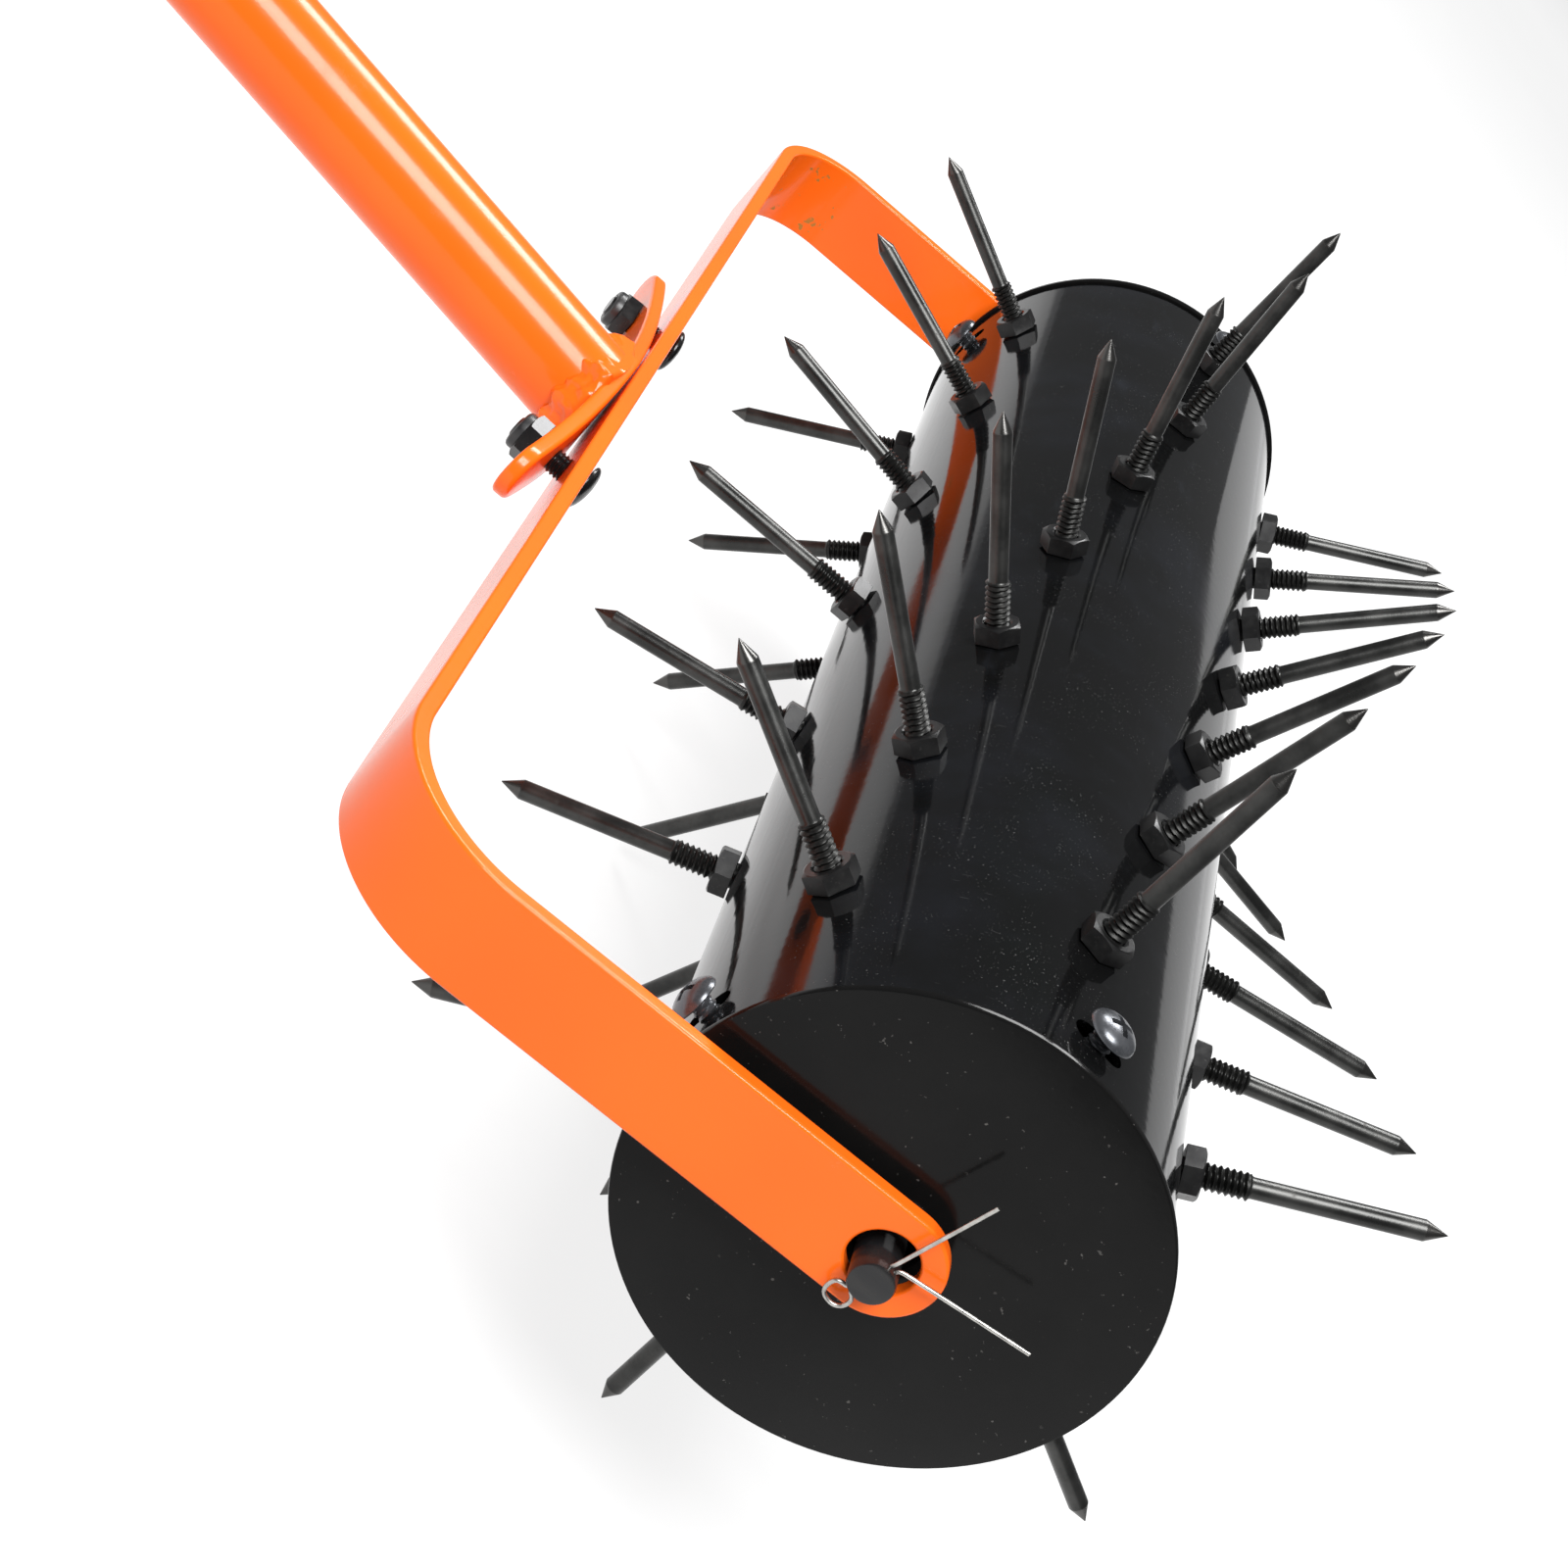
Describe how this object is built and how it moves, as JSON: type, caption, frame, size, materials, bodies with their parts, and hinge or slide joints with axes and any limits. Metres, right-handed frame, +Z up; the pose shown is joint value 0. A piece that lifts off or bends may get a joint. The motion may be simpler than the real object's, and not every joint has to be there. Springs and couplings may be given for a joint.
{
  "type": "rolling spike aerator",
  "caption": "Spiked steel drum turning in a U-shaped flat-bar yoke, with a bolted-on tube handle, rolled over a lawn to punch holes.",
  "frame": {"origin": "middle of the whole part's box, on the ground that it lies on", "axes": "+X from the grip toward the drum, along the handle's run over the ground; +Y along the drum's axle; +Z up from the ground"},
  "size_m": [1.3666, 0.4282, 0.2035],
  "materials": {
    "orange_paint": "gloss orange enamel",
    "black_gloss_paint": "gloss black enamel",
    "black_satin_paint": "satin charcoal black with dust",
    "spike_steel": "dark oxide steel with bright ground points",
    "black_steel": "black oxide",
    "axle_steel": "bare drawn steel",
    "zinc_steel": "bright zinc",
    "grip_rubber": "matte black rubber"
  },
  "bodies": {
    "frame": {"handle_tube": "orange_paint", "handle_grip": "grip_rubber", "yoke": "orange_paint", "flange_plate": "orange_paint", "axle": "axle_steel", "cotter_pin_near": "zinc_steel", "cotter_pin_far": "zinc_steel", "plate_bolt_near": "black_steel", "lock_nut_near": "black_steel", "plate_bolt_far": "black_steel", "lock_nut_far": "black_steel"},
    "roller": {"drum_shell": "black_gloss_paint", "end_disc_near": "black_satin_paint", "end_disc_far": "black_satin_paint", "spike_1_1": "spike_steel", "spike_1_2": "spike_steel", "spike_1_3": "spike_steel", "spike_1_4": "spike_steel", "spike_1_5": "spike_steel", "spike_1_6": "spike_steel", "spike_1_7": "spike_steel", "spike_2_1": "spike_steel", "spike_2_2": "spike_steel", "spike_2_3": "spike_steel", "spike_2_4": "spike_steel", "spike_2_5": "spike_steel", "spike_2_6": "spike_steel", "spike_2_7": "spike_steel", "spike_3_1": "spike_steel", "spike_3_2": "spike_steel", "spike_3_3": "spike_steel", "spike_3_4": "spike_steel", "spike_3_5": "spike_steel", "spike_3_6": "spike_steel", "spike_3_7": "spike_steel", "spike_4_1": "spike_steel", "spike_4_2": "spike_steel", "spike_4_3": "spike_steel", "spike_4_4": "spike_steel", "spike_4_5": "spike_steel", "spike_4_6": "spike_steel", "spike_4_7": "spike_steel", "spike_5_1": "spike_steel", "spike_5_2": "spike_steel", "spike_5_3": "spike_steel", "spike_5_4": "spike_steel", "spike_5_5": "spike_steel", "spike_5_6": "spike_steel", "spike_5_7": "spike_steel", "spike_6_1": "spike_steel", "spike_6_2": "spike_steel", "spike_6_3": "spike_steel", "spike_6_4": "spike_steel", "spike_6_5": "spike_steel", "spike_6_6": "spike_steel", "spike_6_7": "spike_steel"}
  },
  "joints": [
    {"name": "roller_spin", "type": "hinge", "parent": "frame", "child": "roller", "pos_m": [0.58153, -0.00143, 0.10173], "axis": [0, 1, 0], "continuous": true}
  ]
}
